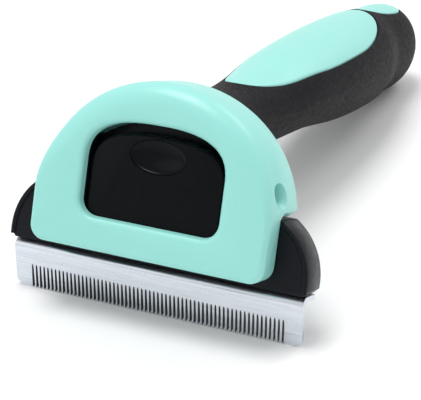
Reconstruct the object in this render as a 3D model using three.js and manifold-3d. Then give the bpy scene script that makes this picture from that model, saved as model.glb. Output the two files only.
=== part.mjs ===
// Deshedding tool: a comb blade on a slide-out cartridge, held in an arched head on a long grip.
// Millimetres, +Z up, +X along the blade, +Y from the blade towards the end of the handle.
// The tool lies as it does on a table, on its comb tips and the underside of its handle.
import * as THREE from 'three';
import { mergeVertices } from 'three/addons/utils/BufferGeometryUtils.js';
import Module from 'manifold-3d';

const wasm = await Module();
wasm.setup();

// ---- driving dimensions ----------------------------------------------------------------

const GAP = 0.3;                    // left between neighbouring pieces
const RUNNING_GAP = 0.1;            // radial clearance round the latch pin
const FAR = 200;                    // reaches past the tool in every direction

// The head stands on its own axes: X across, Y up the face, Z out of the face.
const FACE_TILT = THREE.MathUtils.degToRad(71);
const HEAD_ORIGIN = new THREE.Vector3(0, -2.5, 12.5);

// arch: the D-shaped shell of the head
const ARCH_HALF_WIDTH = 26.9;
const ARCH_CENTRE = 12;             // height where the half ellipse is widest
const ARCH_RISE = 25;
const ARCH_FRONT = 4.2;
const ARCH_BACK = -10;
const ARCH_ROUNDING = 2.8;
const ARM_HALF_WIDTH = 26.1;
const ARM_BOTTOM = 1.1;
const ARM_CORNER = 3.2;
const ARM_BACK = -2.2;                // the arms pass in front of the cartridge's wings
const SHOULDER = 13.9;
const WINDOW = { halfWidth: 15.3, bottom: 8.1, shoulder: 19.3, top: 28.5, corner: 3 };
const WINDOW_FULLNESS = 2.7;        // exponent of the window's rounded top
const SIDE_HOLE = { radius: 2.5, y: 19, z: -2, floor: 21.6 };

// pocket that the cartridge slides in
const POCKET_HALF_WIDTH = 22.5;
const POCKET_RISE = 17.3;
const POCKET_FRONT = 1.7;
const POCKET_BACK = -7.6;
const UPPER_POCKET_BACK = -5.3;
const UPPER_POCKET_START = 18.5;

// back cover, let into the back of the arch
const COVER_INSET = 2.3;
const COVER_OUTER = -9.9;
const COVER_INNER = -7.6;
const COVER_TONGUE_HALF_WIDTH = 21.5;
const COVER_TONGUE_BOTTOM = 3;
const COVER_SCREWS = [[-19.5, 23.5], [19.5, 23.5], [-11.5, 30.5], [11.5, 30.5]];
const COVER_SCREW = { headRadius: 1.6, headHeight: 0.9, shankRadius: 0.8, length: 5.6 };

// handle: axis leaves the back of the arch and slopes down to the table
const HANDLE_SLOPE = THREE.MathUtils.degToRad(11.4);
const HANDLE_ORIGIN = new THREE.Vector3(0, 16, 35.7);
// [distance along the handle, half-width, half-height, height of the section's middle]
const GRIP_STATIONS = [
  [-4, 9.4, 8.3, -0.1],
  [8, 8.8, 7.4, -1.0],
  [20, 8.5, 7.0, -1.9],
  [34, 9.6, 8.2, -2.0],
  [52, 11.7, 9.5, -0.6],
  [76, 12.9, 11.7, -0.3],
  [98, 12.1, 12.5, 0.2],
  [112, 10.1, 12.0, 0.5],
];
const GRIP_STEPS = 16;
const GRIP_SIDES = 28;
const END_CAP_LENGTH = 22.4;
const END_CAP_FULLNESS = 3.6;       // exponent of the blunt rounded end
const END_CAP_STEPS = 8;

// core: the hard inside of the handle, which shows through the grip at two patches
const CORE_SHARE = 0.6;             // of the grip's width and height
const CORE_SIDES = 18;
const CORE_START = 3;
const CORE_END = 122;
const NECK = { halfWidth: 6.4, halfHeight: 4.8, z: -0.7, start: -14, end: 8 };
const FLANGE = { halfWidth: 11, halfHeight: 7, y: 26.5, front: -5.6, back: -7.3 };
const LONG_PATCH = { start: 24.5, widest: 77, end: 103.9, halfWidth: 10.8 };
const END_PATCH = { start: 105.2, widest: 120, end: 129.5, halfWidth: 4.9 };
const PATCH_FLOOR = 1;              // height above the handle's axis where a patch's block starts
const CORE_SCREW_PLACES = { core_screw_front: 12, core_screw_rear: 104 };
const CORE_SCREW = { headRadius: 1.9, headHeight: 1.2, shankRadius: 0.9 };

// cartridge: the black slide that carries the blade
const WING_FRONT = -2.5;
const CARTRIDGE_BACK = -9.9;
const CARTRIDGE_BOTTOM = -0.2;
const WING_HALF_WIDTH = 33.5;
const WING_RADIUS = 14;
const WING_CENTRE = 1.8;             // height of the wing's arc centre
const WING_CHAMFER = 1.1;
const WING_INNER = 21.9;
const SLIDE_HALF_WIDTH = 22;
const SLIDE_RISE = 16.8;
const SLIDE_FRONT = 1.4;
const SLIDE_BACK = -7;
const UPPER_SLIDE_BACK = -4.9;
const WEB_FRONT = -3.9;             // the slide's back wall behind the top of the latch
const WEB_START = 17.6;
const BAR_TOP = 2.6;
const LATCH_BAY_HALF_WIDTH = 15.2;
const PLATE = { halfWidth: 18.5, bottom: 4, top: 17.3, front: -5.7 };
const PLATE_SCREW = { headRadius: 1.5, headHeight: 0.6, shankRadius: 0.7, length: 4.4 };
const PLATE_SCREW_X = 16.9;
const PLATE_SCREW_Y = 10.5;

// latch: the thumb panel in the window
const LATCH = { halfWidth: 14.8, bottom: 2.9, shoulder: 18, top: 26.3, front: 1.4, back: -1.7 };
const LATCH_DISH = { halfWidth: 6.3, halfHeight: 3.4, y: 22.2, depth: 0.9 };
const PIN = { radius: 1, halfLength: 17.6, y: 4.9, z: -1.9 };
const PIN_BARREL_RADIUS = 2;

// springs behind the latch
const SPRING = { coilRadius: 1.8, wireRadius: 0.22, turns: 3.5, x: 8, y: 14, back: -5.1, front: -2.1 };
const SPRING_PEG_RADIUS = 1.1;

// comb blade, bent from sheet
const SHEET = 1.2;
const BLADE_HALF_WIDTH = 32.5;
const BEND_RADIUS = 1.6;            // outside of the bend
const LEAF_OVERLAP = 7;             // the toothed sheet and the bent sheet share the height above this
const FLANGE_END = -9.9;
const SLOT_COUNT = 63;
const SLOT_PITCH = 0.918;
const SLOT_HEIGHT = 5.5;
const SLOT_HALF_WIDTH_TOP = 0.1;
const SLOT_HALF_WIDTH_TIP = 0.32;
const CORNER_CUT = { width: 2, height: 1.5 };
const BLADE_SCREWS = [-26, -8.7, 8.7, 26];
const BLADE_SCREW = { headRadius: 1.5, headHeight: 0.8, shankRadius: 0.7, length: 4.2 };
const BLADE_SCREW_Z = -7.2;

// ---- materials ---------------------------------------------------------------------------

function material(color, roughness, metalness = 0) {
  return new THREE.MeshStandardMaterial({ color, roughness, metalness });
}

const mintPlastic = material(0xa3e6de, 0.4);
const blackPlastic = material(0x17191d, 0.25);
const gripRubber = material(0x2c2d30, 0.75);
const bladeSteel = material(0xc9ced6, 0.3, 1);
const fastenerSteel = material(0x9aa0a8, 0.35, 1);

// ---- solids ------------------------------------------------------------------------------

function solidOf(geometry) {
  geometry.deleteAttribute('normal');
  geometry.deleteAttribute('uv');
  const merged = mergeVertices(geometry, 1e-4);
  return new wasm.Manifold(new wasm.Mesh({
    numProp: 3,
    vertProperties: new Float32Array(merged.attributes.position.array),
    triVerts: new Uint32Array(merged.index.array),
  }));
}

function geometryOf(solid) {
  const mesh = solid.getMesh();
  const geometry = new THREE.BufferGeometry();
  geometry.setAttribute('position', new THREE.BufferAttribute(mesh.vertProperties, 3));
  geometry.setIndex(new THREE.BufferAttribute(mesh.triVerts, 1));
  return geometry;
}

// An outline drawn in X and Y, given thickness along Z between two heights.
function slab(outline, low, high, curveSegments = 12) {
  const options = { depth: high - low, bevelEnabled: false, curveSegments };
  const geometry = new THREE.ExtrudeGeometry(outline, options);
  return solidOf(geometry.translate(0, 0, low));
}

function block(low, high) {
  const size = new THREE.Vector3(high[0] - low[0], high[1] - low[1], high[2] - low[2]);
  const geometry = new THREE.BoxGeometry(size.x, size.y, size.z);
  return solidOf(geometry.translate(low[0] + size.x / 2, low[1] + size.y / 2, low[2] + size.z / 2));
}

// A round bar along X, centred on x.
function barAlongX(radius, x, y, z, length, sides = 20) {
  const geometry = new THREE.CylinderGeometry(radius, radius, length, sides);
  return solidOf(geometry.rotateZ(Math.PI / 2).translate(x, y, z));
}

// A round bar along Z between two heights.
function barAlongZ(radius, x, y, low, high, sides = 20) {
  const geometry = new THREE.CylinderGeometry(radius, radius, high - low, sides);
  return solidOf(geometry.rotateX(Math.PI / 2).translate(x, y, (low + high) / 2));
}

function ellipse(halfWidth, halfHeight, y) {
  return new THREE.Shape().absellipse(0, y, halfWidth, halfHeight, 0, 2 * Math.PI, false);
}

function rectangle(left, right, bottom, top) {
  return new THREE.Shape([
    new THREE.Vector2(left, bottom),
    new THREE.Vector2(right, bottom),
    new THREE.Vector2(right, top),
    new THREE.Vector2(left, top),
  ]);
}

// Straight sides from the bottom up to the centre, and a half ellipse above it.
function archOutline(halfWidth, rise, bottom, corner = 0) {
  const outline = new THREE.Shape();
  outline.moveTo(-halfWidth + corner, bottom);
  outline.lineTo(halfWidth - corner, bottom);
  if (corner > 0) {
    outline.absarc(halfWidth - corner, bottom + corner, corner, -Math.PI / 2, 0, false);
  }
  outline.absellipse(0, ARCH_CENTRE, halfWidth, rise, 0, Math.PI, false);
  if (corner > 0) {
    outline.absarc(-halfWidth + corner, bottom + corner, corner, Math.PI, 1.5 * Math.PI, false);
  } else {
    outline.lineTo(-halfWidth, bottom);
  }
  return outline;
}

// A panel with rounded bottom corners and a superellipse top.
function panelOutline(halfWidth, bottom, shoulder, top, corner) {
  const outline = new THREE.Shape();
  const steps = 16;
  outline.moveTo(-halfWidth + corner, bottom);
  outline.lineTo(halfWidth - corner, bottom);
  outline.absarc(halfWidth - corner, bottom + corner, corner, -Math.PI / 2, 0, false);
  for (let i = 0; i <= steps; i += 1) {
    const angle = Math.PI * i / steps;
    const across = Math.sign(Math.cos(angle)) * Math.abs(Math.cos(angle)) ** (2 / WINDOW_FULLNESS);
    const up = Math.sin(angle) ** (2 / WINDOW_FULLNESS);
    outline.lineTo(halfWidth * across, shoulder + (top - shoulder) * up);
  }
  outline.absarc(-halfWidth + corner, bottom + corner, corner, Math.PI, 1.5 * Math.PI, false);
  return outline;
}

// A slab whose front edge is rounded over, keeping the outline's full size behind the rounding.
function roundedSlab(outline, back, front) {
  const depth = front - back;
  const geometry = new THREE.ExtrudeGeometry(outline, {
    depth,
    bevelThickness: ARCH_ROUNDING,
    bevelSize: ARCH_ROUNDING,
    bevelOffset: -ARCH_ROUNDING,
    bevelSegments: 4,
    curveSegments: 12,
  });
  const solid = solidOf(geometry.translate(0, 0, back - ARCH_ROUNDING));
  return solid.subtract(block([-FAR, -FAR, back - 20], [FAR, FAR, back]));
}

// A screw along Z: the head's outer face at z = 0, the shank going to +Z.
function screwGeometry({ headRadius, headHeight, shankRadius, length }) {
  const profile = [
    new THREE.Vector2(0, 0),
    new THREE.Vector2(headRadius - 0.2, 0),
    new THREE.Vector2(headRadius, 0.2),
    new THREE.Vector2(headRadius, headHeight),
    new THREE.Vector2(shankRadius, headHeight),
    new THREE.Vector2(shankRadius, length - shankRadius),
    new THREE.Vector2(0, length),
  ];
  return new THREE.LatheGeometry(profile, 16).rotateX(Math.PI / 2);
}

// The clearance a screw needs in the pieces it passes: counterbore and shank hole.
function screwHole(screw, x, y, z) {
  const head = barAlongZ(screw.headRadius + GAP, x, y, z - 5, z + screw.headHeight + GAP, 16);
  const shank = barAlongZ(screw.shankRadius + GAP, x, y, z, z + screw.length + GAP, 12);
  return head.add(shank);
}

function mesh(name, geometry, look) {
  const part = new THREE.Mesh(geometry, look);
  part.name = name;
  return part;
}

// ---- the two frames ------------------------------------------------------------------------

const head = new THREE.Group();
head.position.copy(HEAD_ORIGIN);
head.rotation.x = FACE_TILT;
head.updateMatrix();

const handle = new THREE.Group();
handle.position.copy(HANDLE_ORIGIN);
handle.rotation.x = -HANDLE_SLOPE;
handle.updateMatrix();

const headInHandle = handle.matrix.clone().invert().multiply(head.matrix);
const handleInHead = headInHandle.clone().invert();

function moved(solid, matrix) {
  return solid.transform(matrix.elements);
}

// ---- handle shape --------------------------------------------------------------------------

// Sections along the handle, smooth through the stations and closed by a blunt rounded cap.
function gripSections() {
  const distances = GRIP_STATIONS.map((station) => station[0]);
  const sizes = GRIP_STATIONS.flatMap((station) => station.slice(1));
  const between = new THREE.CubicInterpolant(distances, sizes, 3);
  const first = distances[0];
  const last = distances[distances.length - 1];
  const sections = [];
  for (let i = 0; i <= GRIP_STEPS; i += 1) {
    const y = first + (last - first) * i / GRIP_STEPS;
    const [halfWidth, halfHeight, middle] = between.evaluate(y);
    sections.push({ y, halfWidth, halfHeight, middle });
  }
  const start = sections[GRIP_STEPS];
  for (let i = 1; i <= END_CAP_STEPS; i += 1) {
    const share = Math.sin((Math.PI / 2) * i / END_CAP_STEPS);
    const shrink = (1 - share ** END_CAP_FULLNESS) ** (1 / END_CAP_FULLNESS);
    sections.push({
      y: start.y + END_CAP_LENGTH * share,
      halfWidth: start.halfWidth * shrink,
      halfHeight: start.halfHeight * shrink,
      middle: start.middle,
    });
  }
  return sections;
}

// A solid along Y whose section is an ellipse of changing size: share scales it, extra adds to it.
function handleSolid(sections, sides, share, extra) {
  const radius = (value) => (value > 0 ? value * share + extra : 0);
  const end = sections[sections.length - 1];
  const profile = [new THREE.Vector2(0, sections[0].y)];
  for (const section of sections) {
    profile.push(new THREE.Vector2(radius(section.halfWidth), section.y));
  }
  if (end.halfWidth > 0) {
    profile.push(new THREE.Vector2(0, end.y));
  }
  const geometry = new THREE.LatheGeometry(profile, sides);
  const place = geometry.attributes.position;
  for (let i = 0; i < place.count; i += 1) {
    const section = sections.find((item) => Math.abs(item.y - place.getY(i)) < 1e-4);
    const flatten = section.halfWidth > 0 ? radius(section.halfHeight) / radius(section.halfWidth) : 1;
    place.setZ(i, place.getZ(i) * flatten + section.middle);
  }
  return solidOf(geometry);
}

function coreSections(start, end) {
  return gripSections().filter((section) => section.y > start && section.y < end);
}

// Patch outlines as seen from above: X across, Y along the handle.
// Each is given by its right half, from the front tip round to the rear, and mirrored.
function mirroredOutline(start, curves) {
  const outline = new THREE.Shape();
  outline.moveTo(0, start);
  for (const [x1, y1, x2, y2, x, y] of curves) {
    outline.bezierCurveTo(x1, y1, x2, y2, x, y);
  }
  for (let i = curves.length - 1; i >= 0; i -= 1) {
    const [x1, y1, x2, y2] = curves[i];
    const [x, y] = i > 0 ? curves[i - 1].slice(4) : [0, start];
    outline.bezierCurveTo(-x2, y2, -x1, y1, -x, y);
  }
  return outline;
}

function longPatchOutline(extra) {
  const half = LONG_PATCH.halfWidth + extra;
  const start = LONG_PATCH.start - extra;
  const end = LONG_PATCH.end + extra;
  const { widest } = LONG_PATCH;
  return mirroredOutline(start, [
    [half * 0.45, start, half * 0.66, start + 10, half * 0.83, start + 23],
    [half * 0.93, start + 31, half, widest - 16, half, widest],
    [half, widest + 12, half * 0.78, end, 0, end],
  ]);
}

function endPatchOutline(extra) {
  const half = END_PATCH.halfWidth + extra;
  const start = END_PATCH.start - extra;
  const end = END_PATCH.end + extra;
  const { widest } = END_PATCH;
  return mirroredOutline(start, [
    [half * 0.5, start, half, start + 6, half, widest],
    [half, end - 4, half * 0.6, end, 0, end],
  ]);
}

function patchBlocks(extra) {
  const floor = PATCH_FLOOR - extra;
  return slab(longPatchOutline(extra), floor, 20, 6).add(slab(endPatchOutline(extra), floor, 20, 5));
}

// ---- head pieces ---------------------------------------------------------------------------

function neckSolid(extra) {
  const outline = ellipse(NECK.halfWidth + extra, NECK.halfHeight + extra, -NECK.z);
  const geometry = new THREE.ExtrudeGeometry(outline, {
    depth: NECK.end - NECK.start,
    bevelEnabled: false,
    curveSegments: 12,
  });
  return solidOf(geometry.rotateX(Math.PI / 2).translate(0, NECK.end, 0));
}

function archShell() {
  const crown = roundedSlab(archOutline(ARCH_HALF_WIDTH, ARCH_RISE, ARM_BOTTOM), ARCH_BACK, ARCH_FRONT)
    .subtract(block([-FAR, -FAR, -FAR], [FAR, SHOULDER, FAR]));
  const armOutline = archOutline(ARM_HALF_WIDTH, ARCH_CENTRE, ARM_BOTTOM, ARM_CORNER);
  const arms = roundedSlab(armOutline, ARM_BACK, ARCH_FRONT);
  const pocket = archOutline(POCKET_HALF_WIDTH, POCKET_RISE, -5);
  const coverSeat = archOutline(ARCH_HALF_WIDTH - COVER_INSET, ARCH_RISE - COVER_INSET, -5);
  const flangeSeat = ellipse(FLANGE.halfWidth + GAP, FLANGE.halfHeight + GAP, FLANGE.y);
  const window = panelOutline(WINDOW.halfWidth, WINDOW.bottom, WINDOW.shoulder, WINDOW.top, WINDOW.corner);
  let shell = crown.add(arms)
    .subtract(slab(pocket, UPPER_POCKET_BACK, POCKET_FRONT))
    .subtract(slab(rectangle(-POCKET_HALF_WIDTH, POCKET_HALF_WIDTH, -5, UPPER_POCKET_START), POCKET_BACK, 0))
    .subtract(slab(coverSeat, ARCH_BACK - 5, COVER_INNER + GAP))
    .subtract(slab(flangeSeat, POCKET_BACK, UPPER_POCKET_BACK + 0.5))
    .subtract(slab(window, 0, ARCH_FRONT + 5));
  for (const side of [-1, 1]) {
    const middle = side * (SIDE_HOLE.floor + 5);
    shell = shell.subtract(barAlongX(SIDE_HOLE.radius, middle, SIDE_HOLE.y, SIDE_HOLE.z, 10));
  }
  for (const [x, y] of COVER_SCREWS) {
    shell = shell.subtract(screwHole(COVER_SCREW, x, y, COVER_OUTER));
  }
  return mesh('arch_shell', geometryOf(shell), mintPlastic);
}

function backCover() {
  const inset = COVER_INSET + GAP;
  const outline = archOutline(ARCH_HALF_WIDTH - inset, ARCH_RISE - inset, ARM_BOTTOM);
  const tongueHalf = COVER_TONGUE_HALF_WIDTH;
  const tongue = rectangle(-tongueHalf, tongueHalf, COVER_TONGUE_BOTTOM, SHOULDER + 2);
  let cover = slab(outline, COVER_OUTER, COVER_INNER)
    .subtract(block([-FAR, -FAR, -FAR], [FAR, SHOULDER + GAP, FAR]))
    .add(slab(tongue, COVER_OUTER, COVER_INNER))
    .subtract(moved(neckSolid(GAP), handleInHead));
  for (const [x, y] of COVER_SCREWS) {
    cover = cover.subtract(screwHole(COVER_SCREW, x, y, COVER_OUTER));
  }
  return mesh('back_cover', geometryOf(cover), mintPlastic);
}

function coverScrews() {
  return COVER_SCREWS.map(([x, y], index) => {
    const screw = mesh(`cover_screw_${index + 1}`, screwGeometry(COVER_SCREW), fastenerSteel);
    screw.position.set(x, y, COVER_OUTER);
    return screw;
  });
}

// ---- handle pieces -------------------------------------------------------------------------

// Core screws go up from the underside of the lower half into the upper half.
function coreScrewStart(place) {
  const section = coreSections(CORE_START, CORE_END).reduce((best, item) => (
    Math.abs(item.y - place) < Math.abs(best.y - place) ? item : best));
  return section.middle - section.halfHeight * CORE_SHARE + 1;
}

function coreScrewSize(place) {
  return { ...CORE_SCREW, length: -coreScrewStart(place) + 1.7 };
}

function coreScrewHoles() {
  const holes = Object.values(CORE_SCREW_PLACES).map((place) => (
    screwHole(coreScrewSize(place), 0, place, coreScrewStart(place))));
  return holes[0].add(holes[1]);
}

function coreUpper() {
  const aboveAxis = block([-FAR, -FAR, GAP / 2], [FAR, FAR, FAR]);
  const spine = handleSolid(coreSections(CORE_START, CORE_END), CORE_SIDES, CORE_SHARE, 0)
    .intersect(aboveAxis);
  const outer = handleSolid(gripSections(), GRIP_SIDES, 1, 0);
  const patches = patchBlocks(0).intersect(outer);
  const flange = slab(ellipse(FLANGE.halfWidth, FLANGE.halfHeight, FLANGE.y), FLANGE.back - 1, FLANGE.front)
    .subtract(block([-FAR, -FAR, FLANGE.back - 5], [FAR, FAR, COVER_INNER + GAP]));
  const inFrontOfFlange = block([-FAR, -FAR, FLANGE.front], [FAR, FAR, FAR]);
  const core = neckSolid(0)
    .add(moved(flange, headInHandle))
    .subtract(moved(inFrontOfFlange, headInHandle))
    .add(spine)
    .add(patches)
    .subtract(coreScrewHoles());
  return mesh('handle_core_upper', geometryOf(core), mintPlastic);
}

function coreLower() {
  const belowAxis = block([-FAR, -FAR, -FAR], [FAR, FAR, -GAP / 2]);
  const spine = handleSolid(coreSections(CORE_START, CORE_END), CORE_SIDES, CORE_SHARE, 0);
  const core = spine.intersect(belowAxis).subtract(neckSolid(GAP)).subtract(coreScrewHoles());
  return mesh('handle_core_lower', geometryOf(core), mintPlastic);
}

function coreScrews() {
  return Object.entries(CORE_SCREW_PLACES).map(([name, place]) => {
    const screw = mesh(name, screwGeometry(coreScrewSize(place)), fastenerSteel);
    screw.position.set(0, place, coreScrewStart(place));
    return screw;
  });
}

function grip() {
  const inFrontOfGrip = block([-FAR, -FAR, ARCH_BACK - GAP], [FAR, FAR, FAR]);
  const hollow = handleSolid(coreSections(CORE_START, CORE_END), CORE_SIDES, CORE_SHARE, GAP)
    .add(block([-4, CORE_END - 4, -3], [4, CORE_END - 1, 3]))
    .add(neckSolid(GAP));
  const sleeve = handleSolid(gripSections(), GRIP_SIDES, 1, 0)
    .subtract(hollow)
    .subtract(patchBlocks(GAP))
    .subtract(moved(inFrontOfGrip, headInHandle));
  return mesh('grip', geometryOf(sleeve), gripRubber);
}

// ---- cartridge pieces ------------------------------------------------------------------------

function wingOutline() {
  const left = WING_HALF_WIDTH - WING_RADIUS;
  const outline = new THREE.Shape();
  outline.moveTo(left, CARTRIDGE_BOTTOM);
  outline.lineTo(WING_HALF_WIDTH - WING_CHAMFER, CARTRIDGE_BOTTOM);
  outline.lineTo(WING_HALF_WIDTH, CARTRIDGE_BOTTOM + WING_CHAMFER);
  outline.absarc(left, WING_CENTRE, WING_RADIUS, 0, Math.PI / 2, false);
  return outline;
}

function cartridgeBody() {
  const wing = slab(wingOutline(), CARTRIDGE_BACK, WING_FRONT)
    .subtract(block([-FAR, SHOULDER - GAP, -FAR], [FAR, FAR, FAR]))
    .subtract(block([-FAR, -FAR, -FAR], [WING_INNER, FAR, FAR]));
  const barOutline = rectangle(-WING_INNER - 1, WING_INNER + 1, CARTRIDGE_BOTTOM, BAR_TOP);
  const bar = slab(barOutline, CARTRIDGE_BACK, WING_FRONT);
  const slide = slab(archOutline(SLIDE_HALF_WIDTH, SLIDE_RISE, 1), SLIDE_BACK, SLIDE_FRONT)
    .subtract(block([-FAR, UPPER_POCKET_START - GAP - 0.2, SLIDE_BACK - 1], [FAR, FAR, UPPER_SLIDE_BACK]))
    .subtract(block([-FAR, 0, WING_FRONT], [FAR, BAR_TOP, 5]));
  const bay = block([-LATCH_BAY_HALF_WIDTH, BAR_TOP, -FAR], [LATCH_BAY_HALF_WIDTH, WEB_START, FAR])
    .add(block([-LATCH_BAY_HALF_WIDTH, WEB_START - 1, WEB_FRONT], [LATCH_BAY_HALF_WIDTH, FAR, FAR]));
  const plateSeat = block(
    [-PLATE.halfWidth - GAP, PLATE.bottom - GAP, SLIDE_BACK - 1],
    [PLATE.halfWidth + GAP, PLATE.top + GAP, PLATE.front + GAP],
  );
  let body = wing.add(wing.mirror([1, 0, 0])).add(bar).add(slide)
    .subtract(bay)
    .subtract(plateSeat)
    .subtract(barAlongX(PIN.radius + RUNNING_GAP, 0, PIN.y, PIN.z, 2 * (PIN.halfLength + GAP)));
  for (const side of [-1, 1]) {
    body = body.subtract(screwHole(PLATE_SCREW, side * PLATE_SCREW_X, PLATE_SCREW_Y, SLIDE_BACK));
  }
  for (const x of BLADE_SCREWS) {
    body = body.subtract(bladeScrewHole(x));
  }
  return mesh('cartridge_body', geometryOf(body), blackPlastic);
}

function cartridgeBackPlate() {
  let plate = block([-PLATE.halfWidth, PLATE.bottom, SLIDE_BACK], [PLATE.halfWidth, PLATE.top, PLATE.front]);
  for (const side of [-1, 1]) {
    const peg = barAlongZ(SPRING_PEG_RADIUS, side * SPRING.x, SPRING.y, SLIDE_BACK, SPRING.back + 1.2, 12);
    plate = plate.add(peg).subtract(screwHole(PLATE_SCREW, side * PLATE_SCREW_X, PLATE_SCREW_Y, SLIDE_BACK));
  }
  return mesh('cartridge_back_plate', geometryOf(plate), blackPlastic);
}

function plateScrews() {
  return [-1, 1].map((side, index) => {
    const screw = mesh(`back_plate_screw_${index + 1}`, screwGeometry(PLATE_SCREW), fastenerSteel);
    screw.position.set(side * PLATE_SCREW_X, PLATE_SCREW_Y, SLIDE_BACK);
    return screw;
  });
}

// A closed coil of round wire along Z.
function springs() {
  const rise = SPRING.front - SPRING.back;
  const stepsPerTurn = 9;
  const points = [];
  for (let i = 0; i <= SPRING.turns * stepsPerTurn; i += 1) {
    const angle = 2 * Math.PI * i / stepsPerTurn;
    const height = SPRING.back + rise * i / (SPRING.turns * stepsPerTurn);
    const across = SPRING.coilRadius * Math.cos(angle);
    const up = SPRING.coilRadius * Math.sin(angle);
    points.push(new THREE.Vector3(across, up, height));
  }
  const wire = new THREE.Shape().absarc(0, 0, SPRING.wireRadius, 0, 2 * Math.PI, false);
  return ['latch_spring_left', 'latch_spring_right'].map((name, index) => {
    const geometry = new THREE.ExtrudeGeometry(wire, {
      steps: points.length - 1,
      extrudePath: new THREE.CatmullRomCurve3(points),
      curveSegments: 3,
    });
    const spring = mesh(name, geometry, fastenerSteel);
    spring.position.set((2 * index - 1) * SPRING.x, SPRING.y, 0);
    return spring;
  });
}

function releaseLatch() {
  const outline = panelOutline(LATCH.halfWidth, LATCH.bottom, LATCH.shoulder, LATCH.top, 1);
  const dish = new THREE.SphereGeometry(1, 20, 12);
  dish.scale(LATCH_DISH.halfWidth, LATCH_DISH.halfHeight, LATCH_DISH.depth);
  dish.translate(0, LATCH_DISH.y, LATCH.front);
  const latch = slab(outline, LATCH.back, LATCH.front)
    .add(barAlongX(PIN_BARREL_RADIUS, 0, PIN.y, PIN.z, 2 * LATCH.halfWidth))
    .subtract(barAlongX(PIN.radius + RUNNING_GAP, 0, PIN.y, PIN.z, 60))
    .subtract(solidOf(dish));
  return mesh('release_latch', geometryOf(latch), blackPlastic);
}

function latchPin() {
  const geometry = new THREE.CylinderGeometry(PIN.radius, PIN.radius, 2 * PIN.halfLength, 20);
  const pin = mesh('latch_pin', geometry, fastenerSteel);
  pin.rotation.z = Math.PI / 2;
  pin.position.set(0, PIN.y, PIN.z);
  return pin;
}

// ---- blade -----------------------------------------------------------------------------------

// The flange lies under the cartridge, and the leaf hangs straight down in front.
// Top face of the flange, in the head's own axes, and the leaf's front face at the tool's y = 0.
const FLANGE_TOP = CARTRIDGE_BOTTOM - GAP;

function leafOutline() {
  const outline = new THREE.Shape();
  const { width, height } = CORNER_CUT;
  outline.moveTo(-BLADE_HALF_WIDTH, LEAF_OVERLAP + 1);
  outline.lineTo(-BLADE_HALF_WIDTH, height);
  outline.lineTo(-BLADE_HALF_WIDTH + width, 0);
  for (let i = 0; i < SLOT_COUNT; i += 1) {
    const middle = (i - (SLOT_COUNT - 1) / 2) * SLOT_PITCH;
    outline.lineTo(middle - SLOT_HALF_WIDTH_TIP, 0);
    outline.lineTo(middle - SLOT_HALF_WIDTH_TOP, SLOT_HEIGHT);
    outline.lineTo(middle + SLOT_HALF_WIDTH_TOP, SLOT_HEIGHT);
    outline.lineTo(middle + SLOT_HALF_WIDTH_TIP, 0);
  }
  outline.lineTo(BLADE_HALF_WIDTH - width, 0);
  outline.lineTo(BLADE_HALF_WIDTH, height);
  outline.lineTo(BLADE_HALF_WIDTH, LEAF_OVERLAP + 1);
  return outline;
}

// The bent sheet's section, in Y and Z of the tool: up the leaf, round the bend, back along the flange.
function bendOutline() {
  const turn = Math.PI - FACE_TILT;
  const corner = new THREE.Vector3(0, FLANGE_TOP, 0).applyMatrix4(head.matrix);
  const cornerZ = corner.z + corner.y * Math.tan(Math.PI / 2 - FACE_TILT);
  const tangent = BEND_RADIUS * Math.tan(turn / 2);
  const centre = new THREE.Vector2(BEND_RADIUS, cornerZ - tangent);
  const outerEnd = new THREE.Vector3(0, FLANGE_TOP, FLANGE_END).applyMatrix4(head.matrix);
  const innerEnd = new THREE.Vector3(0, FLANGE_TOP - SHEET, FLANGE_END).applyMatrix4(head.matrix);
  const outline = new THREE.Shape();
  outline.moveTo(SHEET, LEAF_OVERLAP);
  outline.lineTo(SHEET, centre.y);
  outline.absarc(centre.x, centre.y, BEND_RADIUS - SHEET, Math.PI, Math.PI - turn, true);
  outline.lineTo(innerEnd.y, innerEnd.z);
  outline.lineTo(outerEnd.y, outerEnd.z);
  outline.absarc(centre.x, centre.y, BEND_RADIUS, Math.PI - turn, Math.PI, false);
  outline.lineTo(0, LEAF_OVERLAP);
  return outline;
}

// Blade screws go up through the flange, square to it.
function bladeScrewHole(x) {
  const start = FLANGE_TOP - SHEET - GAP - BLADE_SCREW.headHeight;
  const holeRadius = BLADE_SCREW.shankRadius + GAP;
  const shank = new THREE.CylinderGeometry(holeRadius, holeRadius, 6, 12);
  return solidOf(shank.translate(x, start + BLADE_SCREW.length + GAP - 3, BLADE_SCREW_Z));
}

function combBlade() {
  const leaf = new THREE.ExtrudeGeometry(leafOutline(), { depth: SHEET, bevelEnabled: false });
  const bend = new THREE.ExtrudeGeometry(bendOutline(), {
    depth: 2 * BLADE_HALF_WIDTH,
    bevelEnabled: false,
    curveSegments: 8,
  });
  const turned = new THREE.Matrix4().makeBasis(
    new THREE.Vector3(0, 1, 0),
    new THREE.Vector3(0, 0, 1),
    new THREE.Vector3(1, 0, 0),
  );
  let blade = solidOf(leaf.rotateX(Math.PI / 2).translate(0, SHEET, 0))
    .add(solidOf(bend.applyMatrix4(turned).translate(-BLADE_HALF_WIDTH, 0, 0)));
  for (const x of BLADE_SCREWS) {
    blade = blade.subtract(moved(bladeScrewHole(x), head.matrix));
  }
  return mesh('comb_blade', geometryOf(blade), bladeSteel);
}

function bladeScrews() {
  return BLADE_SCREWS.map((x, index) => {
    const screw = mesh(`blade_screw_${index + 1}`, screwGeometry(BLADE_SCREW), fastenerSteel);
    screw.rotation.x = -Math.PI / 2;
    screw.position.set(x, FLANGE_TOP - SHEET - GAP - BLADE_SCREW.headHeight, BLADE_SCREW_Z);
    return screw;
  });
}

// ---- assembly --------------------------------------------------------------------------------

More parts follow.
